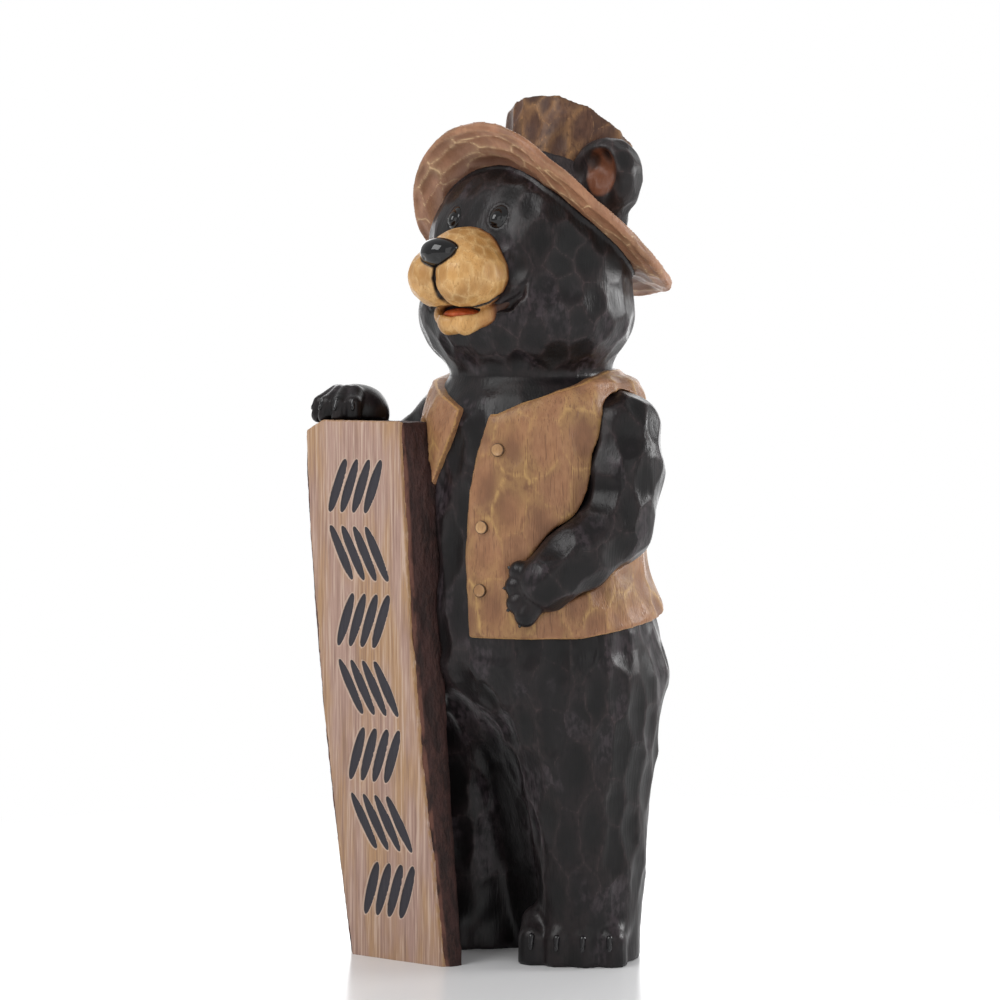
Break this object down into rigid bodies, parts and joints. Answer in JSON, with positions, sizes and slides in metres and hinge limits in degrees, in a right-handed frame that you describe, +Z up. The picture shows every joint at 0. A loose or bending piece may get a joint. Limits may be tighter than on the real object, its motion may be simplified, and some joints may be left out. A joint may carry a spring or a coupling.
{
  "type": "carved bear statue with sign slab",
  "caption": "Standing carved bear with a brimmed hat and an open buttoned vest, one paw resting on an upright, bark-edged sign slab with rows of carved strokes",
  "frame": {"origin": "middle of the flat underside, on the floor below the bear's upright axis", "axes": "X to the bear's left, Y to the bear's back, Z up; the bear faces -Y"},
  "size_m": [0.3756, 0.3039, 0.8844],
  "materials": {
    "bear_wood": "painted and varnished",
    "sign_wood": "bare, stained"
  },
  "bodies": {
    "root": {"bear": "bear_wood", "sign_slab": "sign_wood"}
  },
  "joints": []
}
